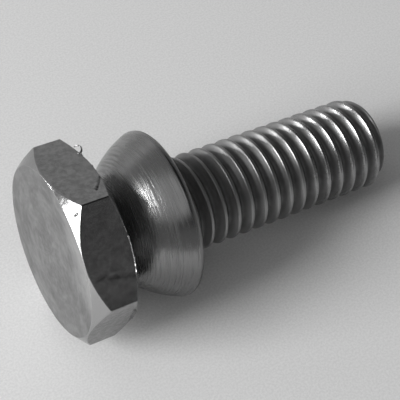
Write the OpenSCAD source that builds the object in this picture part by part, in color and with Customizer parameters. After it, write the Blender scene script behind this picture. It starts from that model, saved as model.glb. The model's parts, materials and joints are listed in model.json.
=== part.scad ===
// Shear bolt: a hexagon head, a thin neck, a domed collar and a threaded shank, turned as one piece.
// The neck parts at a set torque, so that the head comes off and the collar stays on the work.
// The bolt lies as it comes to rest: on the rim of the collar, the tip of the thread and one
// corner of the head. Lengths are in millimetres, angles in degrees, +Z is up.

/* [Head] */
// Width of the hexagon across its flats
head_af = 14; // [13.8:0.1:17]
// Thickness of the head, front face to back face
head_h = 3.85; // [3:0.05:8]
// Diameter of the round front face inside the chamfer
front_d = 13.9; // [11:0.05:13.95]
// Depth of the front chamfer at the corners
front_chamfer = 1.0; // [0.3:0.05:1.3]
// Diameter of the round back face inside the chamfer
back_d = 13.8; // [11:0.05:13.95]
// Depth of the back chamfer at the corners
back_chamfer = 0.7; // [0.2:0.05:1.2]

/* [Neck] */
// Diameter of the neck that shears
neck_d = 5.4; // [4:0.1:6]
// Length of the neck between the head and the collar
neck_len = 0.5; // [0.3:0.05:3]

/* [Collar] */
// Largest diameter of the collar
collar_d = 13.8; // [13:0.1:18]
// Length of the collar, neck to bearing face
collar_len = 5.4; // [5:0.1:7]
// Radius of the round edge at the bearing face
rim_r = 0.5; // [0.2:0.05:1]
// Angle of the collar's flank to the axis, where the flank runs into the rim
flank_angle = 20; // [12:1:30]

/* [Thread] */
// Diameter over the crests
thread_d = 7.82; // [7.5:0.02:8]
// Distance from one turn to the next
thread_pitch = 1.25; // [1.15:0.05:1.5]
// Depth of the groove
thread_depth = 0.70; // [0.4:0.02:0.76]
// Width of the crest
crest_w = 0.20; // [0.14:0.02:0.3]
// Length of the shank, bearing face to tip
shank_len = 19.6; // [12:0.2:40]
// Length of the plain shank left under the bearing face
plain_len = 0.3; // [0.2:0.05:3]
// Turn of the thread about the axis
thread_turn = 186; // [0:1:359]

/* [Tip] */
// Diameter of the flat end of the tip
tip_d = 6.9; // [5:0.1:7.4]
// Length of the tip's chamfer
tip_chamfer = 0.65; // [0.3:0.05:1.5]

/* [Hidden] */

// Fineness of the round parts, of the arcs in the profile and of the thread, in steps
round_steps = 48;
flank_steps = 10;
rim_steps = 6;
steps_per_turn = 24;

// Places along the axis, measured from the front face
neck_z = head_h;
collar_z = neck_z + neck_len;
bearing_z = collar_z + collar_len;
tip_z = bearing_z + shank_len;

// Corner radius of the hexagon, and where its corner edge ends at the back
corner_r = head_af / 2 / cos(30);
corner_back_z = head_h - back_chamfer;

// Round edge of the rim: the middle of its arc
rim_mid_z = bearing_z - rim_r;
rim_mid_r = collar_d / 2 - rim_r;

// Flank of the collar: one arc from the foot at the neck to the rim, which it meets smoothly
flank_end_z = rim_mid_z - rim_r * sin(flank_angle);
flank_end_r = rim_mid_r + rim_r * cos(flank_angle);
chord_angle = atan2(flank_end_r - neck_d / 2, flank_end_z - collar_z);
chord_len = norm([flank_end_z - collar_z, flank_end_r - neck_d / 2]);
flank_turn = 2 * (chord_angle - flank_angle);
flank_r = chord_len / 2 / sin(flank_turn / 2);
flank_mid_z = flank_end_z + flank_r * sin(flank_angle);
flank_mid_r = flank_end_r - flank_r * cos(flank_angle);

// Groove of the thread: half of its 60 degree angle, its bottom and its soft corners
flank_half = 30;
crest_r = thread_d / 2;
root_r = crest_r - thread_depth;
root_w = thread_pitch - crest_w - 2 * thread_depth * tan(flank_half);
root_corner = root_w / 3;
groove_over = 0.08;
runout_turns = 0.5;
overrun_turns = 1;
groove_turns = (shank_len - plain_len) / thread_pitch + overrun_turns;
groove_steps = ceil(groove_turns * steps_per_turn);

// Rest: the lean of the axis, tip down, on the rim and the tip or on a flat of the head and the tip
support_z = tip_z - tip_chamfer;
rim_reach = norm([support_z - rim_mid_z, rim_mid_r - crest_r]);
rim_lean = atan2(rim_mid_r - crest_r, support_z - rim_mid_z) + asin(rim_r / rim_reach);
head_lean = atan2(head_af / 2 - crest_r, support_z - head_h);
lean = max(rim_lean, head_lean);
axis_height = support_z * sin(lean) + crest_r * cos(lean);

// Rest: the turn of the head that sets one corner on the floor
floor_r = (axis_height - corner_back_z * sin(lean)) / cos(lean);
corner_turn = acos(max(cos(30), min(1, floor_r / corner_r)));

// Middle of the length along X
near_x = -front_d / 2 * sin(lean);
far_x = tip_z * cos(lean) + tip_d / 2 * sin(lean);
middle_x = (near_x + far_x) / 2;

// Points of an arc in the profile, as [radius, place on the axis]
function arc(mid_r, mid_z, radius, from, to, steps) = [
    for (i = [0 : steps])
        let (a = from + (to - from) * i / steps)
        [mid_r + radius * cos(a), mid_z - radius * sin(a)]
];

// Hexagon with both ends turned down to a cone at the corners
module head() {
    front_slope = (corner_r - front_d / 2) / front_chamfer;
    back_slope = (corner_r - back_d / 2) / back_chamfer;
    intersection() {
        cylinder(h = head_h, r = corner_r, $fn = 6);
        cylinder(h = head_h, r1 = front_d / 2, r2 = front_d / 2 + head_h * front_slope, $fn = round_steps);
        cylinder(h = head_h, r1 = back_d / 2 + head_h * back_slope, r2 = back_d / 2, $fn = round_steps);
    }
}

// Neck, collar and shank, turned as one profile that starts inside the head
module turned_body() {
    foot_z = head_h / 2;
    rotate_extrude($fn = round_steps)
        polygon(concat(
            [[0, foot_z], [neck_d / 2, foot_z]],
            arc(flank_mid_r, flank_mid_z, flank_r, flank_angle + flank_turn, flank_angle, flank_steps),
            arc(rim_mid_r, rim_mid_z, rim_r, flank_angle, -90, rim_steps),
            [
                [crest_r, bearing_z],
                [crest_r, tip_z - tip_chamfer],
                [tip_d / 2, tip_z],
                [0, tip_z]
            ]
        ));
}

// Section of the groove as [place across it, radius], lifted out of the shank by lift
function groove_section(lift) =
    let (
        top_r = crest_r + groove_over,
        side_r = root_r + root_corner,
        side_w = root_w / 2 + root_corner * tan(flank_half),
        top_w = root_w / 2 + (top_r - root_r) * tan(flank_half),
        root_half = root_w / 2 - root_corner / 2
    )
    [
        [-top_w, top_r + lift],
        [-side_w, side_r + lift],
        [-root_half, root_r + lift],
        [root_half, root_r + lift],
        [side_w, side_r + lift],
        [top_w, top_r + lift]
    ];

// Right-hand groove, wound from its run-out under the collar to past the tip
module thread_groove() {
    section_points = len(groove_section(0));
    points = [
        for (i = [0 : groove_steps])
            let (
                turns = i / steps_per_turn,
                a = thread_turn + 360 * turns,
                lift = (thread_depth + groove_over) * max(0, 1 - turns / runout_turns),
                mid_z = bearing_z + plain_len + thread_pitch * turns
            )
            for (p = groove_section(lift))
                [p[1] * cos(a), p[1] * sin(a), mid_z + p[0]]
    ];
    sides = [
        for (i = [0 : groove_steps - 1])
            for (k = [0 : section_points - 1])
                let (
                    here = i * section_points + k,
                    beside = i * section_points + (k + 1) % section_points,
                    ahead = here + section_points,
                    across = beside + section_points
                )
                each [[here, across, beside], [here, ahead, across]]
    ];
    first_end = [for (k = [0 : section_points - 1]) k];
    last_end = [for (k = [section_points - 1 : -1 : 0]) groove_steps * section_points + k];
    polyhedron(points = points, faces = concat(sides, [first_end, last_end]));
}

// The bolt upright on its front face, its axis along Z
module upright_bolt() {
    difference() {
        union() {
            head();
            turned_body();
        }
        thread_groove();
    }
}

module shear_bolt() {
    color("dimgray")
        translate([-middle_x, 0, axis_height])
            rotate([0, 90 + lean, 0])
                rotate([0, 0, corner_turn])
                    upright_bolt();
}

shear_bolt();
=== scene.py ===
"""Shear bolt as it lies on a pale surface: one steel piece with turned, cold-formed and rolled finishes.

The bolt is first made upright, its axis along Z and its front face at zero, and then laid in place.
"""

from collections import namedtuple
import json
import math

import bmesh
import bpy
from mathutils import Euler, Matrix, Vector, noise


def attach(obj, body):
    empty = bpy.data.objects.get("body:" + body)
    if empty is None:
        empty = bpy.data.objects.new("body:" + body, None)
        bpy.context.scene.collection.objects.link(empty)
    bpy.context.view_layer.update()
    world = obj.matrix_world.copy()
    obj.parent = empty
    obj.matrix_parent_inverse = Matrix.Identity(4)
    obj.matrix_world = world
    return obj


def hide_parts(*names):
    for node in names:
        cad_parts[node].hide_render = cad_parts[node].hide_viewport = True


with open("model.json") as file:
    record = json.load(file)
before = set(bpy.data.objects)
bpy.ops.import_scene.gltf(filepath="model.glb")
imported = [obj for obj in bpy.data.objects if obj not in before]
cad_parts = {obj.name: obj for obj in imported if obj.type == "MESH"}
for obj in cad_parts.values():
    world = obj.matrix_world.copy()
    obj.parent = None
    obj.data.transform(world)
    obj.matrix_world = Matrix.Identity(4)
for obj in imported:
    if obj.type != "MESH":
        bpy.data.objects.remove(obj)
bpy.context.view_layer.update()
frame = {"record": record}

bl_info = {
    "name": "Shear bolt",
    "version": (1, 0, 0),
    "blender": (4, 5, 0),
    "location": "View3D > Sidebar > Shear bolt",
    "description": "Builds a shear bolt with a hexagon head, a domed collar and a rolled thread",
    "category": "Add Mesh",
}

MM = 0.001
NODE = "shear_bolt"
BODY = "root"

# The bolt's own axis, taken from where the solid has its drive, its bearing face and its tip
MOUNTS = {mount["name"]: mount for mount in frame["record"]["mounts"]}
FRONT = Vector(MOUNTS["hexagon_drive"]["pos_m"])
TIP = Vector(MOUNTS["thread"]["pos_m"])
AXIS = (TIP - FRONT).normalized()
LENGTH = (TIP - FRONT).length
BEARING = (Vector(MOUNTS["bearing_face"]["pos_m"]) - FRONT).dot(AXIS)
LEAN = math.asin(-AXIS.z)
LIE = math.radians(90) + LEAN

# Fineness of the surfaces: columns around, rows along the head's profile and steps in round stretches
RING_COLUMNS = 108
FACE_ROWS, CHAMFER_ROWS, FLAT_ROWS, LIP_ROWS, BACK_CHAMFER_ROWS, BACK_ROWS = 9, 8, 36, 1, 2, 6
EASE_STEPS, NECK_STEPS, FLANK_STEPS, RIM_STEPS = 3, 4, 40, 12
ROWS_PER_TURN = 24

# Angle between the head's columns, in degrees, on the worn flats and elsewhere, and places of the extra
# columns at each corner, as shares of its rounding
WORN_STEP, PLAIN_STEP = 0.5, 1.5
CORNER_SHARES = (-0.75, -0.375, 0.375, 0.75)

# Most that the easing of a corner takes of the sides beside it
MOST_EASED = 0.4

# Thread: how much closer the rows lie on the crests, turns beyond its two ends, and the rolled fold's place
# and reach, as shares of the pitch
CREST_CROWDING = 0.5
SPARE_TURNS = 2
FOLD_PLACE, FOLD_REACH = 0.44, 0.05

# Rings that close the tip, as shares of the one before, and how much the burr thins towards its end
TIP_RINGS = (0.985, 0.6, 0.2)
BURR_TAPER = 0.9

# Points that lie closer than this become one
WELD = 0.5e-6

# Wear on the head. Places on a flat are in millimetres: along the hexagon's side from its middle, and from
# the front face. Flats are named by the angle of their middle, in degrees from a corner.
UPPER_FLAT, SIDE_FLAT, LOWER_FLAT = 150, 210, 270

# Scratches and dents that run from start to end. Depth goes inward, or outward where it is below zero, ridge
# is the metal pushed up beside, and the last field is its share of dark fill: soiling, and painted shade in
# deep notches.
Scar = namedtuple("Scar", "flat start end half_width depth ridge dirt")
SCARS = (
    Scar(UPPER_FLAT, (2.95, 2.75), (2.75, 2.95), 0.10, 0.060, 0.0, 0.7),
    Scar(UPPER_FLAT, (2.75, 2.95), (1.75, 3.65), 0.08, 0.045, 0.006, 0.5),
    Scar(UPPER_FLAT, (2.2, 1.65), (1.75, 2.1), 0.12, -0.012, 0.0, 0.0),
    Scar(SIDE_FLAT, (1.48, 0.57), (1.36, 1.25), 0.20, 0.010, 0.0, 0.20),
    Scar(SIDE_FLAT, (1.62, 1.55), (1.68, 2.1), 0.18, 0.014, 0.0, 0.25),
    Scar(SIDE_FLAT, (1.68, 2.1), (2.02, 3.45), 0.22, 0.014, 0.0, 0.20),
    Scar(SIDE_FLAT, (1.1, 1.9), (1.2, 2.2), 0.20, 0.008, 0.0, 0.15),
    Scar(LOWER_FLAT, (-1.8, 3.56), (-1.5, 3.60), 0.13, 0.100, 0.0, 1.0),
    Scar(LOWER_FLAT, (-1.5, 3.60), (0.7, 3.70), 0.09, 0.060, 0.0, 0.9),
)

# Thin lips of metal turned over along the flats' back edges, from one place along the side to the other
Lip = namedtuple("Lip", "flat start end height")
LIPS = (
    Lip(SIDE_FLAT, -2.3, -1.9, 0.10),
    Lip(SIDE_FLAT, -1.6, -1.1, 0.13),
    Lip(SIDE_FLAT, -0.9, 2.05, 0.16),
    Lip(UPPER_FLAT, -1.6, -1.3, 0.16),
    Lip(UPPER_FLAT, 0.1, 0.36, 0.12),
    Lip(UPPER_FLAT, 0.75, 0.95, 0.07),
    Lip(LOWER_FLAT, -1.4, 0.8, 0.10),
)

# How near to a flat, in millimetres, a point takes the flat's scars, and the ridge's place and width, as
# shares of the scar's half width
NEAR_FLAT = 0.1
RIDGE_PLACE, RIDGE_WIDTH = 1.7, 0.6

# Length in which a lip rises at its ends, in millimetres, and the share of its height that it has on average,
# how much that wavers and how often in a millimetre
LIP_EASE = 0.08
LIP_SHARE, LIP_WAVER, LIP_WAVES = 0.75, 0.5, 4

# Where a scar's fill of soiling and painted shade, and the pit's painted shade, start to fade and end, in
# half widths
SCAR_DIRT_AND_SHADE = (0.4, 1.3)
PIT_SHADE = (0.3, 1.2)

# Angles, about the axis from straight down, of the side where the front of the head is rubbed lighter, and of
# the side that is turned to the floor in front, which the finishes darken as painted shade
RUBBED_SIDE = math.radians(222)
SHADED_UNDERSIDE = math.radians(-50)

# Lights: direction, azimuth from +X, and how large they look from the bolt, all in degrees
Light = namedtuple("Light", "azimuth elevation wide high")
WINDOW = Light(174, 24.1, 25, 44.2)
LAMP = Light(138, 6, 5, 5)

# Distance of every light, far enough to be even over the bolt
LIGHT_DISTANCE = 0.45

# Lighter parts of the room: the setting that holds the brightness, the direction, and the angles from it at
# which the part starts to fade and ends, in degrees
RoomPart = namedtuple("RoomPart", "setting azimuth elevation inner outer")
ROOM_PARTS = (
    RoomPart("wall", 90, -17, 50, 53),
    RoomPart("patch", 220, 66, 18, 36),
    RoomPart("upper_wall", 112, 50, 10, 42),
)

# The room darkens to the ceiling between these heights, as sines of the elevation
WALL_TOP, CEILING_EDGE = 0.36, 0.62

# Half the floor's width, in metres, and the camera's frame, in millimetres
FLOOR_REACH = 1.5
SENSOR_WIDTH = 36

# Places of the materials on the bolt's mesh
FACE_FINISH, FLAT_FINISH, COLLAR_FINISH, THREAD_FINISH = range(4)


def length_prop(name, description, default):
    return bpy.props.FloatProperty(
        name=name, description=description, default=default * MM, min=0, unit="LENGTH", precision=5)


def angle_prop(name, description, default):
    return bpy.props.FloatProperty(
        name=name, description=description, default=math.radians(default), subtype="ANGLE")


def number_prop(name, description, default):
    return bpy.props.FloatProperty(name=name, description=description, default=default)


def grey_prop(name, description, default):
    return bpy.props.FloatVectorProperty(
        name=name, description=description, default=(default, default, default),
        min=0, max=1, subtype="COLOR")


class HeadSizes(bpy.types.PropertyGroup):
    """Sizes of the hexagon head."""
    across: length_prop("Across flats", "Width of the hexagon across its flats", 14)
    thickness: length_prop("Thickness", "Front face to back face", 3.85)
    front_d: length_prop("Front diameter", "Round front face inside the chamfer", 13.9)
    front_chamfer: length_prop("Front chamfer", "Depth of the front chamfer at the corners", 1.0)
    back_d: length_prop("Back diameter", "Round back face inside the chamfer", 13.8)
    back_chamfer: length_prop("Back chamfer", "Depth of the back chamfer at the corners", 0.7)
    corner_round: length_prop("Corner rounding", "Radius of the six corner edges", 0.13)
    edge_round: length_prop("Edge rounding", "Softness of the chamfers' edges", 0.05)
    lip_width: length_prop("Lip width", "Strip along the back edges that the lips take up", 0.045)
    pit_angle: angle_prop("Pit angle", "Where the pit in the front chamfer is, about the axis", 181.5)
    pit_reach: length_prop("Pit reach", "Distance of the pit from the axis", 7.5)
    pit_width: length_prop("Pit width", "Half width of the pit", 0.18)
    pit_depth: length_prop("Pit depth", "Depth of the pit", 0.09)
    turn: angle_prop("Turn", "Turn of the head about the axis, one corner on the floor", 13.9214)


class CollarSizes(bpy.types.PropertyGroup):
    """Sizes of the neck and the collar."""
    neck_d: length_prop("Neck diameter", "Neck that shears", 5.4)
    neck_length: length_prop("Neck length", "Between the head and the collar", 0.5)
    neck_round: length_prop("Neck rounding", "Softness of the corners at the neck", 0.12)
    outer_d: length_prop("Collar diameter", "Largest diameter of the collar", 13.8)
    rim_round: length_prop("Rim radius", "Round edge at the bearing face", 0.5)
    flank_angle: angle_prop("Flank angle", "Slope of the flank where it runs into the rim", 20)


class ThreadSizes(bpy.types.PropertyGroup):
    """Sizes of the rolled thread and the tip."""
    outer_d: length_prop("Outer diameter", "Diameter over the crests", 7.88)
    pitch: length_prop("Pitch", "Distance from one turn to the next", 1.25)
    depth: length_prop("Depth", "Depth of the groove", 0.70)
    crest_width: length_prop("Crest width", "Width of the crest", 0.20)
    flank_half: angle_prop("Half angle", "Half of the groove's angle", 30)
    crest_round: length_prop("Crest rounding", "Softness of the crest's edges", 0.09)
    root_round: length_prop("Root rounding", "Softness of the groove's bottom", 0.30)
    plain: length_prop("Plain length", "Shank left plain under the bearing face", 0.3)
    start: angle_prop("Start", "Where the groove starts, about the axis", 161)
    runout: number_prop("Run-out", "Turns in which the groove reaches its depth", 0.5)
    seam_depth: length_prop("Seam depth", "Fold left by rolling along the first crests", 0.035)
    seam_turns: number_prop("Seam turns", "Turns in which the fold closes", 5)
    tip_d: length_prop("Tip diameter", "Flat end of the tip", 6.9)
    tip_chamfer: length_prop("Tip chamfer", "Length of the tip's chamfer", 0.65)
    tip_round: length_prop("Tip rounding", "Softness of the chamfer's edges", 0.12)


class BurrSizes(bpy.types.PropertyGroup):
    """Sizes of the curled burr."""
    foot: bpy.props.FloatProperty(
        name="Foot", description="Place along the flat's back edge, from its middle", default=-1.62 * MM,
        unit="LENGTH", precision=5)
    radius: length_prop("Radius", "Half width of the curl along the edge", 0.46)
    height: length_prop("Height", "Height of the curl over the edge", 0.36)
    width: length_prop("Width", "Width of the curled strip", 0.20)
    thickness: length_prop("Thickness", "Thickness of the curled strip", 0.12)
    lean: angle_prop("Lean", "Lean of the curl from the flat's outward direction to the back", 60)
    sunk: angle_prop("Sunk", "Turn at which the curl starts inside the head", -25)
    curl: angle_prop("Curl", "Turn from one end to the other", 215)
    steps: bpy.props.IntProperty(name="Steps", description="Steps along the curl", default=20, min=4)
    sides: bpy.props.IntProperty(name="Sides", description="Points around the strip", default=10, min=4)


class FinishColours(bpy.types.PropertyGroup):
    """Colours of the steel and the floor."""
    steel: grey_prop("Steel", "Bare steel", 0.32)
    # Dark colour that the finishes mix in: oily soiling, and painted shade where the masks carry it
    soil_and_shade: grey_prop("Soil and shade", "Oil and dirt left in the thread and the corners", 0.08)
    worn: grey_prop("Worn steel", "Steel rubbed bright on the head", 0.44)
    floor: grey_prop("Floor", "Pale surface under the bolt", 0.70)


class StageSettings(bpy.types.PropertyGroup):
    """Camera and lights."""
    azimuth: angle_prop("Azimuth", "Camera's turn from looking along +Y", 31.72)
    elevation: angle_prop("Elevation", "Camera's height angle", 56.75)
    roll: angle_prop("Roll", "Camera's tilt about its own axis", 2.73)
    distance: length_prop("Distance", "Camera to the point it looks at", 92.25)
    target: bpy.props.FloatVectorProperty(
        name="Target", description="Point that the camera looks at", subtype="TRANSLATION",
        default=(-1.85 * MM, -1.26 * MM, 8.20 * MM))
    lens: number_prop("Lens", "Focal length in millimetres on a 36 mm frame", 105.4)
    window: number_prop("Window", "Brightness of the tall soft light on the left", 14.8)
    lamp: number_prop("Lamp", "Brightness of the small light behind", 40)
    room_dark: number_prop("Room", "Brightness of the room", 0.19)
    wall: number_prop("Far wall", "Brightness of the lighter wall", 0.26)
    upper_wall: number_prop("Upper wall", "Brightness of the wall above that", 0.22)
    patch: number_prop("Ceiling patch", "Brightness of the lighter part of the ceiling", 0.52)
    ceiling: number_prop("Ceiling", "Share of that brightness left overhead", 0.12)


SETTINGS = (
    ("bolt_head", HeadSizes),
    ("bolt_collar", CollarSizes),
    ("bolt_thread", ThreadSizes),
    ("bolt_burr", BurrSizes),
    ("bolt_finish", FinishColours),
    ("bolt_stage", StageSettings),
)


class Wiring:
    """Adds nodes to a tree and wires them. An input takes a plain value or another node's output."""

    def __init__(self, tree):
        self.tree = tree

    def feed(self, socket, value):
        if isinstance(value, bpy.types.NodeSocket):
            self.tree.links.new(value, socket)
        else:
            socket.default_value = value

    def node(self, kind, inputs=None, **settings):
        made = self.tree.nodes.new(kind)
        for name, value in settings.items():
            setattr(made, name, value)
        for key, value in (inputs or {}).items():
            self.feed(made.inputs[key], value)
        return made

    def math(self, operation, *values, clamp=False):
        made = self.node("ShaderNodeMath", operation=operation, use_clamp=clamp)
        for socket, value in zip(made.inputs, values):
            self.feed(socket, value)
        return made.outputs[0]

    def vector(self, operation, *values):
        made = self.node("ShaderNodeVectorMath", operation=operation)
        for socket, value in zip(made.inputs, values):
            self.feed(socket, value)
        return made.outputs["Value" if operation in ("DOT_PRODUCT", "LENGTH") else "Vector"]

    def combine(self, x, y, z):
        return self.node("ShaderNodeCombineXYZ", {"X": x, "Y": y, "Z": z}).outputs[0]

    def separate(self, vector):
        return self.node("ShaderNodeSeparateXYZ", {"Vector": vector}).outputs

    def span(self, value, low, high, to_low=0.0, to_high=1.0):
        """Maps low..high to to_low..to_high with soft ends."""
        made = self.node("ShaderNodeMapRange", interpolation_type="SMOOTHSTEP")
        for socket, given in zip(made.inputs, (value, low, high, to_low, to_high)):
            self.feed(socket, given)
        return made.outputs[0]


def new_tree(name, kind, inputs, outputs):
    """A node tree with named sockets, its wiring, its input sockets by name and its output node."""
    tree = bpy.data.node_groups.new(name, kind)
    for socket, socket_type in inputs:
        tree.interface.new_socket(name=socket, in_out="INPUT", socket_type=socket_type)
    for socket, socket_type in outputs:
        tree.interface.new_socket(name=socket, in_out="OUTPUT", socket_type=socket_type)
    wiring = Wiring(tree)
    entry = wiring.node("NodeGroupInput").outputs
    leave = wiring.node("NodeGroupOutput").inputs
    return tree, wiring, entry, leave


def add_object(name, mesh):
    obj = bpy.data.objects.new(name, mesh)
    bpy.context.scene.collection.objects.link(obj)
    return obj


def laid(turn):
    """Places the upright bolt where the solid lies."""
    return Matrix.Translation(FRONT) @ Matrix.Rotation(LIE, 4, "Y") @ Matrix.Rotation(turn, 4, "Z")


# Finishes

def coordinates_group():
    """Places on the upright bolt in millimetres: along the axis, out from it and the direction around it.

    UnderShade is a mask of the side that is turned to the floor in front, which the finishes darken as
    painted shade."""
    name = "bolt_coordinates"
    if name in bpy.data.node_groups:
        return bpy.data.node_groups[name]
    tree, w, _, leave = new_tree(name, "ShaderNodeTree", (), (
        ("Along", "NodeSocketFloat"), ("Out", "NodeSocketFloat"), ("Around", "NodeSocketVector"),
        ("Place", "NodeSocketVector"), ("UnderShade", "NodeSocketFloat")))
    place = w.node("ShaderNodeMapping", {
        "Vector": w.node("ShaderNodeTexCoord").outputs["Object"],
        "Location": FRONT, "Rotation": (0, LIE, 0), "Scale": (MM, MM, MM)}, vector_type="TEXTURE").outputs[0]
    x, y, z = w.separate(place)
    flat = w.combine(x, y, 0.0)
    w.feed(leave["Along"], z)
    w.feed(leave["Out"], w.vector("LENGTH", flat))
    around = w.vector("NORMALIZE", flat)
    to_under = w.vector("DOT_PRODUCT", around, upright(SHADED_UNDERSIDE, 1, 0))
    w.feed(leave["Around"], around)
    w.feed(leave["UnderShade"], w.span(to_under, 0.35, 0.85))
    w.feed(leave["Place"], place)
    return tree


def turning_group():
    """Fine rings left by a turning tool: a value that changes fast along the profile and slowly around it."""
    name = "turning_marks"
    if name in bpy.data.node_groups:
        return bpy.data.node_groups[name]
    tree, w, entry, leave = new_tree(name, "ShaderNodeTree", (
        ("Profile", "NodeSocketFloat"), ("Around", "NodeSocketVector"), ("Rings", "NodeSocketFloat"),
        ("Waver", "NodeSocketFloat"), ("Seed", "NodeSocketFloat")), (("Marks", "NodeSocketFloat"),))
    around = w.separate(entry["Around"])
    rings = w.math("MULTIPLY", entry["Profile"], entry["Rings"])
    place = w.combine(
        w.math("MULTIPLY", around[0], entry["Waver"]), w.math("MULTIPLY", around[1], entry["Waver"]),
        w.math("ADD", rings, entry["Seed"]))
    marks = w.node("ShaderNodeTexNoise", {"Vector": place, "Scale": 1.0, "Detail": 3.0, "Roughness": 0.6})
    w.feed(leave["Marks"], marks.outputs["Fac"])
    return tree


def handling_group():
    """Blotches from handling and oily films: a soft large mask and a mottled fine one."""
    name = "handling_marks"
    if name in bpy.data.node_groups:
        return bpy.data.node_groups[name]
    tree, w, entry, leave = new_tree(name, "ShaderNodeTree", (
        ("Place", "NodeSocketVector"), ("Size", "NodeSocketFloat"), ("Seed", "NodeSocketFloat")), (
        ("Blotch", "NodeSocketFloat"), ("Mottle", "NodeSocketFloat")))
    place = w.vector("ADD", entry["Place"], w.combine(entry["Seed"], entry["Seed"], entry["Seed"]))
    scale = w.math("DIVIDE", 1.0, entry["Size"])
    blotch = w.node("ShaderNodeTexNoise", {"Vector": place, "Scale": scale, "Detail": 2.0, "Distortion": 0.4})
    mottle = w.node("ShaderNodeTexNoise", {
        "Vector": place, "Scale": w.math("MULTIPLY", scale, 5.0), "Detail": 4.0, "Roughness": 0.6})
    w.feed(leave["Blotch"], w.span(blotch.outputs["Fac"], 0.35, 0.65))
    w.feed(leave["Mottle"], mottle.outputs["Fac"])
    return tree


def new_material(name):
    """An empty steel material: its wiring and its shader."""
    material = bpy.data.materials.new(name)
    material.use_nodes = True
    w = Wiring(material.node_tree)
    shader = material.node_tree.nodes["Principled BSDF"]
    shader.inputs["Metallic"].default_value = 1.0
    return material, w, shader


def group_node(w, tree, inputs=None):
    """Places a node group in a material and gives its outputs."""
    return w.node("ShaderNodeGroup", inputs, node_tree=tree).outputs


def bump(w, height, depth):
    """Normal of a surface whose height changes by depth."""
    return w.node("ShaderNodeBump", {"Height": height, "Distance": depth, "Strength": 1.0}).outputs[0]


def tone(w, clean, finish, mask):
    """The clean colour, darkened towards the soil_and_shade colour where the mask is high: soiling, and
    painted shade where a mask carries it.
    """
    mix = w.node("ShaderNodeMix", data_type="RGBA")
    w.feed(mix.inputs["Factor"], mask)
    mix.inputs[6].default_value = (*clean, 1)
    mix.inputs[7].default_value = (*finish.soil_and_shade, 1)
    return mix.outputs[2]


def layered(w, base, *layers):
    """The base value with each mask added by its weight, kept between 0 and 1."""
    total = base
    for mask, weight in layers:
        total = w.math("MULTIPLY_ADD", mask, weight, total, clamp=True)
    return total


def scar_fill(w, place, scar, head):
    """Mask of a scar's dark fill: soiling, and painted shade in deep notches."""
    flat = math.radians(scar.flat) + head.turn
    ends = [
        upright(flat, head.across / 2 / MM, back) + upright(flat + math.radians(90), along, 0)
        for along, back in (scar.start, scar.end)
    ]
    run = ends[1] - ends[0]
    from_start = w.vector("SUBTRACT", place, ends[0])
    share = w.math("DIVIDE", w.vector("DOT_PRODUCT", from_start, run), run.length_squared, clamp=True)
    beside = w.vector("SUBTRACT", from_start, w.vector("MULTIPLY", run, w.combine(share, share, share)))
    inner, outer = (scar.half_width * share for share in SCAR_DIRT_AND_SHADE)
    return w.span(w.vector("LENGTH", beside), inner, outer, 1.0, 0.0)


def face_material(finish):
    """Front face and end of the tip: turned flat, blotched, and rubbed lighter at one side."""
    material, w, shader = new_material("turned_face_steel")
    at = group_node(w, coordinates_group())
    rings = group_node(w, turning_group(), {
        "Profile": at["Out"], "Around": at["Around"], "Rings": 1.6, "Waver": 3.5, "Seed": 3.0})["Marks"]
    hands = group_node(w, handling_group(), {"Place": at["Place"], "Size": 1.6, "Seed": 1.0})
    to_side = w.vector("DOT_PRODUCT", at["Around"], upright(RUBBED_SIDE, 1, 0))
    rubbed = w.span(w.math("MULTIPLY", to_side, at["Out"]), 3.6, 6.9)
    darkening = layered(
        w, 0.15, (hands["Blotch"], 0.18), (rings, 0.45), (hands["Mottle"], 0.22), (rubbed, -0.42))
    w.feed(shader.inputs["Base Color"], tone(w, finish.worn, finish, darkening))
    w.feed(shader.inputs["Roughness"], layered(w, 0.30, (rings, 0.20)))
    w.feed(shader.inputs["Normal"], bump(w, w.math("ADD", rings, hands["Mottle"]), 0.010 * MM))
    return material


def flat_material(finish, head):
    """Flats and chamfers: cold formed and mottled, with the front chamfer rubbed bright."""
    material, w, shader = new_material("formed_flat_steel")
    at = group_node(w, coordinates_group())
    hands = group_node(w, handling_group(), {"Place": at["Place"], "Size": 2.2, "Seed": 7.0})
    front_r = head.front_d / 2 / MM
    steepness = head.front_chamfer / MM / (corner_radius(head) / MM - front_r)
    chamfer = w.math("MULTIPLY", w.math("SUBTRACT", at["Out"], front_r), steepness)
    flat = w.span(w.math("SUBTRACT", at["Along"], chamfer), 0.02, 0.10)
    to_side = w.vector("DOT_PRODUCT", at["Around"], upright(RUBBED_SIDE, 1, 0))
    rubbed = w.span(to_side, 0.2, 0.8, 0.38, 0.0)
    mottle = w.span(hands["Mottle"], 0.30, 0.70, 0.20, 0.48)
    # Scars are filled dark: soiling, with painted shade inside the deep notch on the lower flat
    dirt = 0.0
    for scar in SCARS:
        dirt = w.math("MAXIMUM", dirt, w.math("MULTIPLY", scar_fill(w, at["Place"], scar, head), scar.dirt))
    # Painted shade: the side turned to the floor is darkened, besides the mottle, the blotches and the scars'
    # fill
    darkening = layered(w, mottle, (hands["Blotch"], 0.06), (at["UnderShade"], 0.55), (dirt, 1.0))
    darkening = w.math("ADD", rubbed, w.math("MULTIPLY", flat, w.math("SUBTRACT", darkening, rubbed)))
    # The pit is filled dark as painted shade
    from_pit = w.vector("LENGTH", w.vector("SUBTRACT", at["Place"], pit_middle(head, head.turn) / MM))
    inner, outer = (head.pit_width / MM * share for share in PIT_SHADE)
    in_pit = w.span(from_pit, inner, outer, 0.9, 0.0)
    darkening = w.math("MAXIMUM", darkening, in_pit)
    w.feed(shader.inputs["Base Color"], tone(w, finish.worn, finish, darkening))
    w.feed(shader.inputs["Roughness"], layered(w, 0.12, (hands["Mottle"], 0.12), (flat, 0.06)))
    w.feed(shader.inputs["Normal"], bump(w, hands["Mottle"], 0.015 * MM))
    return material


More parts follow.
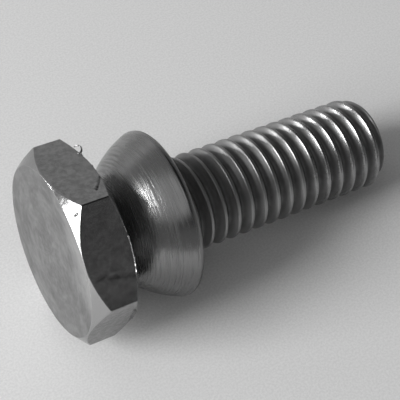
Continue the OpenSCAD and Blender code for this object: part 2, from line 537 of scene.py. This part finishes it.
def collar_material(finish):
    """Collar: turned, with rings about the axis that draw its highlights out along them."""
    material, w, shader = new_material("turned_collar_steel")
    at = group_node(w, coordinates_group())
    profile = w.math("ADD", at["Along"], at["Out"])
    coarse = group_node(w, turning_group(), {
        "Profile": profile, "Around": at["Around"], "Rings": 2.2, "Waver": 0.6, "Seed": 11.0})["Marks"]
    fine = group_node(w, turning_group(), {
        "Profile": profile, "Around": at["Around"], "Rings": 6.0, "Waver": 2.0, "Seed": 19.0})["Marks"]
    hands = group_node(w, handling_group(), {"Place": at["Place"], "Size": 1.5, "Seed": 31.0})
    streaks = w.span(fine, 0.30, 0.70)
    rim = w.span(at["Along"], BEARING / MM - 0.6, BEARING / MM - 0.2)
    # Painted shade darkens the side turned to the floor, the rim is darkened to dim its reflection, and
    # streaks and blotches add soiling
    darkening = layered(w, 0.0, (streaks, 0.14), (hands["Blotch"], 0.04), (at["UnderShade"], 0.62), (rim, 0.30))
    w.feed(shader.inputs["Base Color"], tone(w, finish.steel, finish, darkening))
    w.feed(shader.inputs["Roughness"], layered(w, 0.16, (streaks, 0.17), (rim, 0.22)))
    w.feed(shader.inputs["Normal"], bump(w, w.math("ADD", coarse, fine), 0.015 * MM))
    w.feed(shader.inputs["Tangent"], w.combine(*AXIS))
    shader.inputs["Anisotropic"].default_value = 0.5
    shader.inputs["Anisotropic Rotation"].default_value = 0.25
    return material


def thread_material(finish, thread):
    """Thread: rolled and burnished, darkened in the grooves by oily soiling and painted shade, and duller
    near the collar, where it is also darkened as painted shade.
    """
    material, w, shader = new_material("rolled_thread_steel")
    at = group_node(w, coordinates_group())
    crest = thread.outer_d / 2 / MM
    root = crest - thread.depth / MM
    bearing = BEARING / MM
    hands = group_node(w, handling_group(), {"Place": at["Place"], "Size": 1.2, "Seed": 23.0})
    # Grooves are darkened by oily soiling and painted shade; near the collar the thread is rougher and
    # darkened as painted shade
    in_groove = w.span(at["Out"], root, crest - 0.10, 1.0, 0.0)
    groove_oil_and_shade = w.math("MULTIPLY", in_groove, layered(w, 0.7, (hands["Blotch"], 0.2)))
    dull_and_shaded = w.span(at["Along"], bearing + 3.0, bearing + 15.0, 1.0, 0.0)
    darkening = layered(w, groove_oil_and_shade, (dull_and_shaded, 0.06))
    roughness = layered(w, 0.22, (hands["Mottle"], 0.08), (dull_and_shaded, 0.14), (darkening, 0.25))
    w.feed(shader.inputs["Base Color"], tone(w, finish.steel, finish, darkening))
    w.feed(shader.inputs["Roughness"], roughness)
    w.feed(shader.inputs["Metallic"], layered(w, 1.0, (darkening, -0.7)))
    w.feed(shader.inputs["Normal"], bump(w, hands["Mottle"], 0.008 * MM))
    return material


def floor_material(finish):
    """Pale surface with the fine grain of paper."""
    material, w, shader = new_material("pale_floor")
    shader.inputs["Metallic"].default_value = 0.0
    shader.inputs["Roughness"].default_value = 0.7
    place = w.vector("SCALE", w.node("ShaderNodeTexCoord").outputs["Object"])
    place.node.inputs["Scale"].default_value = 1 / MM
    grain = w.node("ShaderNodeTexNoise", {"Vector": place, "Scale": 5.5, "Detail": 2.0, "Roughness": 0.6})
    shade = w.span(grain.outputs["Fac"], 0.25, 0.75, 0.93, 1.07)
    colour = w.vector("MULTIPLY", Vector(finish.floor), w.combine(shade, shade, shade))
    w.feed(shader.inputs["Base Color"], colour)
    return material


# Shapes

def softened(corners, radius, steps):
    """The run of corners with each inner one eased by a small curve."""
    points = [corners[0]]
    for before, corner, after in zip(corners, corners[1:], corners[2:]):
        shorter = min((before - corner).length, (after - corner).length)
        reach = min(radius, MOST_EASED * shorter)
        enter = corner + (before - corner).normalized() * reach
        leave = corner + (after - corner).normalized() * reach
        for step in range(steps + 1):
            share = step / steps
            points.append(enter.lerp(corner, share).lerp(corner.lerp(leave, share), share))
    points.append(corners[-1])
    return points


def divided(points, counts):
    """The run of points with each stretch cut into its count of even steps."""
    result = [points[0]]
    for here, there, count in zip(points, points[1:], counts):
        result.extend(here.lerp(there, (step + 1) / count) for step in range(count))
    return result


def skin(bm, columns, finish_of_row):
    """Faces between neighbouring columns of points, closed all round."""
    made = [[bm.verts.new(point) for point in column] for column in columns]
    for here, there in zip(made, made[1:] + made[:1]):
        for row, finish in enumerate(finish_of_row):
            face = bm.faces.new((here[row], there[row], there[row + 1], here[row + 1]))
            face.material_index = finish


def upright(angle, radius, height):
    """Point at an angle about the Z axis, a distance from it and a height."""
    return Vector((radius * math.cos(angle), radius * math.sin(angle), height))


def corner_radius(head):
    """Distance of the sharp hexagon's corners from the axis."""
    return head.across / 2 / math.cos(math.radians(30))


def front_cone(radius, head):
    """Height of the front chamfer at a radius."""
    front_r = head.front_d / 2
    return (radius - front_r) / (corner_radius(head) - front_r) * head.front_chamfer


def back_cone(radius, head):
    """Height of the back chamfer at a radius."""
    back_r = head.back_d / 2
    return head.thickness - (radius - back_r) / (corner_radius(head) - back_r) * head.back_chamfer


def hexagon_radius(angle, head):
    """Radius of the rounded hexagon at an angle, with a corner at angle zero."""
    sixth = math.radians(60)
    half = sixth / 2
    apothem = head.across / 2
    from_corner = abs((angle + half) % sixth - half)
    middle = (apothem - head.corner_round) / math.cos(half)
    tangent = half - math.atan2(middle * math.sin(half), apothem)
    if from_corner < tangent:
        aside = middle * math.sin(from_corner)
        return middle * math.cos(from_corner) + math.sqrt(head.corner_round ** 2 - aside ** 2)
    return apothem / math.cos(half - from_corner)


def head_angles(head):
    """Angles all round, closer together on the worn flats and inside the rounding of each corner."""
    sixth = math.radians(60)
    rounded = head.corner_round * math.tan(sixth / 2) / (head.across / 2)
    worn_from, worn_to = UPPER_FLAT - 30, LOWER_FLAT + 30
    worn_steps = round((worn_to - worn_from) / WORN_STEP)
    plain_steps = round((360 + worn_from - worn_to) / PLAIN_STEP)
    degrees = [worn_from + WORN_STEP * step for step in range(worn_steps)]
    degrees += [worn_to + PLAIN_STEP * step for step in range(plain_steps)]
    angles = [math.radians(degree % 360) for degree in degrees]
    for corner in range(6):
        for share in CORNER_SHARES:
            angles.append((corner * sixth + share * rounded) % math.tau)
    return sorted(angles)


def from_segment(place, start, end):
    """Distance of a place from the line between start and end, all in a flat's own millimetres."""
    start, end, place = Vector(start), Vector(end), Vector(place)
    along = end - start
    share = max(0, min(1, (place - start).dot(along) / along.length_squared))
    return (place - start - along * share).length


def on_flat(point, flat):
    """How far a point lies out on a flat, along it and back from the front face, in millimetres."""
    angle = math.radians(flat)
    out = point.x * math.cos(angle) + point.y * math.sin(angle)
    along = point.y * math.cos(angle) - point.x * math.sin(angle)
    return out / MM, along / MM, point.z / MM


def scarred(point, head):
    """The point moved in or out by the scars of its flat."""
    shift = Vector()
    for scar in SCARS:
        out, along, back = on_flat(point, scar.flat)
        if abs(out - head.across / 2 / MM) < NEAR_FLAT:
            distance = from_segment((along, back), scar.start, scar.end) / scar.half_width
            groove = scar.depth * math.exp(-distance ** 2)
            ridge = scar.ridge * math.exp(-((distance - RIDGE_PLACE) / RIDGE_WIDTH) ** 2)
            shift += upright(math.radians(scar.flat), (ridge - groove) * MM, 0)
    return point + shift


def lip_height(angle, head):
    """How far a lip stands out from the hexagon's back edge at an angle."""
    height = 0
    for lip in LIPS:
        aside = angle - math.radians(lip.flat)
        if abs(aside) < math.radians(30):
            along = head.across / 2 / MM * math.tan(aside)
            inside = min(along - lip.start, lip.end - along)
            ragged = LIP_SHARE + LIP_WAVER * noise.noise(Vector((along * LIP_WAVES, lip.flat, 0)))
            height = max(height, lip.height * ragged * max(0, min(1, inside / LIP_EASE)))
    return height * MM


def pit_middle(head, turn):
    """Middle of the pit on the front chamfer, with the head turned about its axis."""
    return upright(head.pit_angle + turn, head.pit_reach, front_cone(head.pit_reach, head))


def pitted(point, middle, head):
    """The point of the front chamfer sunk where the pit is."""
    sunk = head.pit_depth * math.exp(-(point - middle).length_squared / head.pit_width ** 2)
    return point + Vector((-point.x, -point.y, point.xy.length)).normalized() * sunk


class BOLT_OT_head(bpy.types.Operator):
    """Hexagon with both ends turned down to cones at the corners, open where the neck joins it"""
    bl_idname = "bolt.head"
    bl_label = "Head"

    def execute(self, context):
        head = context.scene.bolt_head
        neck_r = context.scene.bolt_collar.neck_d / 2
        ring_step = math.tau / RING_COLUMNS
        pit = pit_middle(head, 0)
        columns = []
        counts = [FACE_ROWS]
        for rows in (CHAMFER_ROWS, FLAT_ROWS, LIP_ROWS, BACK_CHAMFER_ROWS, BACK_ROWS):
            counts += [1] * EASE_STEPS + [rows]
        for angle in head_angles(head):
            side_r = hexagon_radius(angle, head)
            edge_z = back_cone(side_r, head)
            lip = lip_height(angle, head)
            corners = [
                upright(angle, 0, 0),
                upright(angle, head.front_d / 2, 0),
                upright(angle, side_r, front_cone(side_r, head)),
                upright(angle, side_r, edge_z - head.lip_width),
                upright(angle, side_r + lip, edge_z + lip / 4),
                upright(angle, head.back_d / 2, head.thickness),
                upright(round(angle / ring_step) * ring_step, neck_r, head.thickness),
            ]
            column = divided(softened(corners, head.edge_round, EASE_STEPS), counts)
            columns.append([pitted(scarred(point, head), pit, head) for point in column])
        finishes = [FACE_FINISH] * FACE_ROWS + [FLAT_FINISH] * (sum(counts) - FACE_ROWS)
        bm = bmesh.new()
        skin(bm, columns, finishes)
        bmesh.ops.remove_doubles(bm, verts=bm.verts, dist=WELD)
        mesh = bpy.data.meshes.new("head")
        bm.to_mesh(mesh)
        bm.free()
        add_object("head", mesh)
        return {"FINISHED"}


def arc(middle_r, middle_z, radius, start, end, steps):
    """Points of an arc in the profile, as (radius, 0, place on the axis)."""
    return [
        Vector((middle_r + radius * math.cos(a), 0, middle_z - radius * math.sin(a)))
        for a in (start + (end - start) * step / steps for step in range(steps + 1))
    ]


class BOLT_OT_collar(bpy.types.Operator):
    """Neck, domed flank, round rim and flat bearing face, open where the head and the shank join it"""
    bl_idname = "bolt.collar"
    bl_label = "Collar"

    def execute(self, context):
        sizes = context.scene.bolt_collar
        head_z = context.scene.bolt_head.thickness
        shank_r = context.scene.bolt_thread.outer_d / 2
        neck_r = sizes.neck_d / 2
        foot_z = head_z + sizes.neck_length
        rim_r = sizes.outer_d / 2 - sizes.rim_round
        rim_z = BEARING - sizes.rim_round
        end_r = rim_r + sizes.rim_round * math.cos(sizes.flank_angle)
        end_z = rim_z - sizes.rim_round * math.sin(sizes.flank_angle)
        chord = math.hypot(end_r - neck_r, end_z - foot_z)
        turn = 2 * (math.atan2(end_r - neck_r, end_z - foot_z) - sizes.flank_angle)
        flank = chord / 2 / math.sin(turn / 2)
        flank_z = end_z + flank * math.sin(sizes.flank_angle)
        flank_r = end_r - flank * math.cos(sizes.flank_angle)
        domed = arc(flank_r, flank_z, flank, sizes.flank_angle + turn, sizes.flank_angle, FLANK_STEPS)
        rim = arc(rim_r, rim_z, sizes.rim_round, sizes.flank_angle, -math.radians(90), RIM_STEPS)
        corners = [Vector((neck_r, 0, head_z)), Vector((neck_r, 0, foot_z)), domed[1]]
        neck = softened(corners, sizes.neck_round, NECK_STEPS)
        profile = neck + domed[2:] + rim[1:] + [
            Vector(((rim_r + shank_r) / 2, 0, BEARING)), Vector((shank_r, 0, BEARING))]
        columns = [
            [upright(math.tau * step / RING_COLUMNS, point.x, point.z) for point in profile]
            for step in range(RING_COLUMNS)
        ]
        bm = bmesh.new()
        skin(bm, columns, [COLLAR_FINISH] * (len(profile) - 1))
        mesh = bpy.data.meshes.new("collar")
        bm.to_mesh(mesh)
        bm.free()
        add_object("collar", mesh)
        return {"FINISHED"}


def thread_tree():
    """Shank whose rows of points follow the helix, so that crests and roots run true."""
    floats = ("Bearing", "Tip", "Crest radius", "Depth", "Pitch", "Crest width", "Half angle", "Crest round",
              "Root round", "Plain", "Start", "Run-out", "Seam depth", "Seam turns", "Tip radius",
              "Tip chamfer", "Tip round")
    whole = ("Columns", "Rows per turn", "Turns")
    inputs = [(name, "NodeSocketFloat") for name in floats] + [(name, "NodeSocketInt") for name in whole]
    tree, w, at, leave = new_tree("rolled_thread", "GeometryNodeTree", inputs + [
        ("Material", "NodeSocketMaterial")], [("Geometry", "NodeSocketGeometry")])

    # A flat sheet, one unit on each side: across it is once around, up it is along the axis from one turn
    # before the bearing face
    rows = w.math("MULTIPLY", at["Rows per turn"], at["Turns"])
    grid = w.node("GeometryNodeMeshGrid", {
        "Size X": 1.0, "Size Y": 1.0, "Vertices X": w.math("ADD", at["Columns"], 1),
        "Vertices Y": w.math("ADD", rows, 1)})
    across, up, _ = w.separate(w.node("GeometryNodeInputPosition").outputs[0])
    around = w.math("ADD", across, 0.5)
    row = w.math("SUBTRACT", w.math("MULTIPLY", w.math("ADD", up, 0.5), at["Turns"]), 1.0)

    # Rows lie closer together on the crests
    start = w.math("DIVIDE", at["Start"], math.tau)
    first = w.math("SUBTRACT", start, w.math("DIVIDE", at["Plain"], at["Pitch"]))
    phase = w.math("ADD", row, first)
    wave = w.math("SINE", w.math("MULTIPLY", phase, math.tau))
    row = w.math("ADD", row, w.math("MULTIPLY", wave, CREST_CROWDING / math.tau))
    height = w.math("MULTIPLY_ADD", w.math("ADD", row, around), at["Pitch"], at["Bearing"])
    height = w.math("MINIMUM", w.math("MAXIMUM", height, at["Bearing"]), at["Tip"])

    # Place across the nearest groove, and turns since that groove began
    rise = w.math("DIVIDE", w.math("SUBTRACT", height, at["Bearing"]), at["Pitch"])
    phase = w.math("ADD", w.math("SUBTRACT", rise, around), first)
    groove = w.math("ROUND", phase)
    aside = w.math("SUBTRACT", phase, groove)
    turns = w.math("ADD", groove, w.math("SUBTRACT", around, start))

    # Section of the groove, eased at root and crest, and lifted out where it begins
    root = w.math("SUBTRACT", at["Crest radius"], at["Depth"])
    tangent = w.math("TANGENT", at["Half angle"])
    edge = w.math("MULTIPLY", w.math("SUBTRACT", at["Pitch"], at["Crest width"]), 0.5)
    from_edge = w.math("SUBTRACT", w.math("MULTIPLY", w.math("ABSOLUTE", aside), at["Pitch"]), edge)
    wall = w.math("ADD", at["Crest radius"], w.math("DIVIDE", from_edge, tangent))
    section = w.math("SMOOTH_MAX", wall, root, at["Root round"])
    begun = w.math("SUBTRACT", 1.0, w.math("DIVIDE", turns, at["Run-out"]), clamp=True)
    out = w.math("ADD", at["Depth"], at["Crest round"])
    section = w.math("MULTIPLY_ADD", begun, out, section)
    radius = w.math("SMOOTH_MIN", section, at["Crest radius"], at["Crest round"])

    # Fold that rolling leaves on the tip side of the first crests
    beside = w.math("ABSOLUTE", w.math("ADD", aside, FOLD_PLACE))
    fold = w.span(beside, 0.0, FOLD_REACH, 1.0, 0.0)
    open_fold = w.math("SUBTRACT", 1.0, w.math("DIVIDE", turns, at["Seam turns"]), clamp=True)
    fold = w.math("MULTIPLY", w.math("MULTIPLY", fold, open_fold), at["Seam depth"])
    radius = w.math("SUBTRACT", radius, fold)

    # Chamfer of the tip
    slope = w.math("DIVIDE", w.math("SUBTRACT", at["Crest radius"], at["Tip radius"]), at["Tip chamfer"])
    to_tip = w.math("SUBTRACT", at["Tip"], height)
    cone = w.math("MULTIPLY_ADD", to_tip, slope, at["Tip radius"])
    radius = w.math("SMOOTH_MIN", radius, cone, at["Tip round"])

    angle = w.math("MULTIPLY", around, math.tau)
    place = w.combine(
        w.math("MULTIPLY", radius, w.math("COSINE", angle)),
        w.math("MULTIPLY", radius, w.math("SINE", angle)), height)
    moved = w.node("GeometryNodeSetPosition", {"Geometry": grid.outputs["Mesh"], "Position": place})
    merged = w.node("GeometryNodeMergeByDistance", {"Geometry": moved.outputs[0], "Distance": WELD})
    real = w.node("GeometryNodeRealizeInstances", {"Geometry": merged.outputs[0]})
    dressed = w.node("GeometryNodeSetMaterial", {"Geometry": real.outputs[0], "Material": at["Material"]})
    w.feed(leave["Geometry"], dressed.outputs[0])
    return tree


def grow(name, tree, values):
    """Runs a node tree and keeps its result as a plain mesh."""
    obj = add_object(name, bpy.data.meshes.new(name))
    modifier = obj.modifiers.new(name, "NODES")
    modifier.node_group = tree
    for item in tree.interface.items_tree:
        if item.in_out == "INPUT":
            modifier[item.identifier] = values[item.name]
    made = bpy.data.meshes.new_from_object(obj.evaluated_get(bpy.context.evaluated_depsgraph_get()))
    obj.modifiers.remove(modifier)
    obj.data = made
    return obj


class BOLT_OT_thread(bpy.types.Operator):
    """Shank with its rolled thread, open at the bearing face and at the tip"""
    bl_idname = "bolt.thread"
    bl_label = "Thread"

    def execute(self, context):
        sizes = context.scene.bolt_thread
        turns = math.ceil((LENGTH - BEARING) / sizes.pitch) + SPARE_TURNS
        grow("thread", thread_tree(), {
            "Bearing": BEARING, "Tip": LENGTH, "Crest radius": sizes.outer_d / 2, "Depth": sizes.depth,
            "Pitch": sizes.pitch, "Crest width": sizes.crest_width, "Half angle": sizes.flank_half,
            "Crest round": sizes.crest_round, "Root round": sizes.root_round, "Plain": sizes.plain,
            "Start": sizes.start, "Run-out": sizes.runout, "Seam depth": sizes.seam_depth,
            "Seam turns": sizes.seam_turns, "Tip radius": sizes.tip_d / 2, "Tip chamfer": sizes.tip_chamfer,
            "Tip round": sizes.tip_round, "Columns": RING_COLUMNS, "Rows per turn": ROWS_PER_TURN,
            "Turns": turns, "Material": thread_material(context.scene.bolt_finish, sizes)})
        return {"FINISHED"}


class BOLT_OT_burr(bpy.types.Operator):
    """Thin curl of metal that stands up from the back edge of the upper flat"""
    bl_idname = "bolt.burr"
    bl_label = "Curled burr"

    def execute(self, context):
        sizes = context.scene.bolt_burr
        head = context.scene.bolt_head
        flat = math.radians(UPPER_FLAT)
        out, side = upright(flat, 1, 0), upright(flat + math.radians(90), 1, 0)
        root_r = math.hypot(head.across / 2, sizes.foot)
        foot = out * (head.across / 2) + side * sizes.foot + Vector((0, 0, back_cone(root_r, head)))
        rise = (out * math.cos(sizes.lean) + Vector((0, 0, math.sin(sizes.lean)))).normalized()
        across = rise.cross(side)
        columns = [[] for _ in range(sizes.sides)]
        for step in range(sizes.steps + 1):
            share = step / sizes.steps
            turn = sizes.sunk + share * sizes.curl
            middle = foot + side * sizes.radius * (math.cos(turn) - 1) + rise * sizes.height * math.sin(turn)
            outward = side * math.cos(turn) + rise * math.sin(turn)
            taper = math.sqrt(1 - (BURR_TAPER * share) ** 2)
            for index, column in enumerate(columns):
                around = math.tau * index / sizes.sides
                column.append(middle + outward * (math.cos(around) * sizes.thickness / 2 * taper)
                              + across * (math.sin(around) * sizes.width / 2 * taper))
        bm = bmesh.new()
        skin(bm, columns, [0] * sizes.steps)
        bmesh.ops.holes_fill(bm, edges=[edge for edge in bm.edges if edge.is_boundary])
        bmesh.ops.recalc_face_normals(bm, faces=bm.faces)
        bm.transform(laid(head.turn))
        mesh = bpy.data.meshes.new("curled_burr")
        bm.to_mesh(mesh)
        bm.free()
        mesh.materials.append(bpy.data.materials["formed_flat_steel"])
        mesh.shade_smooth()
        burr = add_object("curled_burr", mesh)
        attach(burr, BODY)
        return {"FINISHED"}


class BOLT_OT_weld(bpy.types.Operator):
    """Joins head, collar and shank into one closed piece, closes the tip and lays it in place"""
    bl_idname = "bolt.weld"
    bl_label = "Bolt"

    def execute(self, context):
        scene = context.scene
        bm = bmesh.new()
        for name in ("head", "collar", "thread"):
            part = bpy.data.objects[name]
            known = len(bm.faces)
            bm.from_mesh(part.data)
            bm.faces.ensure_lookup_table()
            if name == "thread":
                for face in bm.faces[known:]:
                    face.material_index = THREAD_FINISH
            bpy.data.objects.remove(part)
        bmesh.ops.remove_doubles(bm, verts=bm.verts, dist=WELD)
        self.close_tip(bm)
        bmesh.ops.recalc_face_normals(bm, faces=bm.faces)
        bm.transform(laid(scene.bolt_head.turn))
        open_edges = [edge for edge in bm.edges if len(edge.link_faces) != 2]
        if open_edges:
            raise RuntimeError(f"the bolt's surface is open along {len(open_edges)} edges")
        mesh = bpy.data.meshes.new("bolt")
        bm.to_mesh(mesh)
        bm.free()
        finish = scene.bolt_finish
        for material in (
                face_material(finish), flat_material(finish, scene.bolt_head), collar_material(finish),
                bpy.data.materials["rolled_thread_steel"]):
            mesh.materials.append(material)
        mesh.shade_smooth()
        bolt = add_object("bolt", mesh)
        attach(bolt, BODY)
        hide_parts(NODE)
        return {"FINISHED"}

    @staticmethod
    def close_tip(bm):
        """Closes the end of the shank with rings that shrink to its middle."""
        rim = [edge for edge in bm.edges if edge.is_boundary]
        shank = set(bm.faces)
        for share in TIP_RINGS:
            grown = bmesh.ops.extrude_edge_only(bm, edges=rim)["geom"]
            rim = [item for item in grown if isinstance(item, bmesh.types.BMEdge)]
            for vert in {vert for edge in rim for vert in edge.verts}:
                vert.co.xy = vert.co.xy * share
        bmesh.ops.edgeloop_fill(bm, edges=rim)
        for face in set(bm.faces) - shank:
            face.material_index = FACE_FINISH


def facing(place):
    """Unit vector towards a light or a part of the room."""
    elevation = math.radians(place.elevation)
    return upright(math.radians(place.azimuth), math.cos(elevation), math.sin(elevation))


def soft_light(name, place, radiance):
    """Area light that spans the given angles as the bolt sees it, turned to the bolt."""
    light = bpy.data.lights.new(name, "AREA")
    light.shape = "RECTANGLE"
    light.size = 2 * LIGHT_DISTANCE * math.tan(math.radians(place.wide) / 2)
    light.size_y = 2 * LIGHT_DISTANCE * math.tan(math.radians(place.high) / 2)
    light.energy = radiance * math.pi * light.size * light.size_y
    towards = facing(place)
    lamp = bpy.data.objects.new(name, light)
    lamp.location = towards * LIGHT_DISTANCE
    lamp.rotation_euler = towards.to_track_quat("Z", "Y").to_euler()
    bpy.context.scene.collection.objects.link(lamp)


class BOLT_OT_stage(bpy.types.Operator):
    """Pale floor, soft light from the left and the camera"""
    bl_idname = "bolt.stage"
    bl_label = "Stage"

    def execute(self, context):
        scene = context.scene
        stage = scene.bolt_stage
        self.lay_floor(scene)
        soft_light("window", WINDOW, stage.window)
        soft_light("lamp", LAMP, stage.lamp)
        self.light_room(scene, stage)
        self.set_camera(scene, stage)
        scene.view_settings.view_transform = "Standard"
        return {"FINISHED"}

    @staticmethod
    def lay_floor(scene):
        mesh = bpy.data.meshes.new("floor")
        bm = bmesh.new()
        bmesh.ops.create_grid(bm, x_segments=1, y_segments=1, size=FLOOR_REACH)
        bm.to_mesh(mesh)
        bm.free()
        mesh.materials.append(floor_material(scene.bolt_finish))
        add_object("floor", mesh)

    @staticmethod
    def light_room(scene, stage):
        """Dim light from all round, with a lighter wall on the far side and a lighter patch of ceiling."""
        scene.world = bpy.data.worlds.new("room")
        scene.world.use_nodes = True
        w = Wiring(scene.world.node_tree)
        towards = w.node("ShaderNodeTexCoord").outputs["Generated"]
        height = w.separate(towards)[2]
        level = w.span(height, WALL_TOP, CEILING_EDGE, stage.room_dark, stage.room_dark * stage.ceiling)
        for part in ROOM_PARTS:
            near = w.vector("DOT_PRODUCT", towards, facing(part))
            outer = math.cos(math.radians(part.outer))
            inner = math.cos(math.radians(part.inner))
            level = w.math("ADD", level, w.span(near, outer, inner, 0.0, getattr(stage, part.setting)))
        background = scene.world.node_tree.nodes["Background"]
        w.feed(background.inputs["Strength"], level)
        background.inputs["Color"].default_value = (1, 1, 1, 1)

    @staticmethod
    def set_camera(scene, stage):
        camera = bpy.data.cameras.new("camera")
        camera.lens = stage.lens
        camera.sensor_width = SENSOR_WIDTH
        camera.clip_start = 1 * MM
        obj = bpy.data.objects.new("camera", camera)
        turn = Euler((math.radians(90) - stage.elevation, 0, -stage.azimuth), "XYZ").to_matrix().to_4x4()
        place = turn @ Matrix.Rotation(stage.roll, 4, "Z")
        back = place.to_3x3() @ Vector((0, 0, stage.distance))
        obj.matrix_world = Matrix.Translation(Vector(stage.target) + back) @ place
        scene.collection.objects.link(obj)
        scene.camera = obj


OPERATORS = (BOLT_OT_head, BOLT_OT_collar, BOLT_OT_thread, BOLT_OT_weld, BOLT_OT_burr, BOLT_OT_stage)


class BOLT_PT_panel(bpy.types.Panel):
    """Lists the bolt's steps and sizes."""
    bl_idname = "BOLT_PT_panel"
    bl_label = "Shear bolt"
    bl_space_type = "VIEW_3D"
    bl_region_type = "UI"
    bl_category = "Shear bolt"

    def draw(self, context):
        for operator in OPERATORS:
            self.layout.operator(operator.bl_idname)
        for name, sizes in SETTINGS:
            box = self.layout.box()
            box.label(text=sizes.__doc__)
            for prop in sizes.__annotations__:
                box.prop(getattr(context.scene, name), prop)


def register():
    for name, sizes in SETTINGS:
        bpy.utils.register_class(sizes)
        setattr(bpy.types.Scene, name, bpy.props.PointerProperty(type=sizes))
    for item in OPERATORS + (BOLT_PT_panel,):
        bpy.utils.register_class(item)


def unregister():
    for item in (BOLT_PT_panel,) + OPERATORS[::-1]:
        bpy.utils.unregister_class(item)
    for name, sizes in SETTINGS[::-1]:
        delattr(bpy.types.Scene, name)
        bpy.utils.unregister_class(sizes)


def main():
    register()
    bpy.ops.bolt.head()
    bpy.ops.bolt.collar()
    bpy.ops.bolt.thread()
    bpy.ops.bolt.weld()
    bpy.ops.bolt.burr()
    bpy.ops.bolt.stage()


if __name__ == "__main__":
    main()
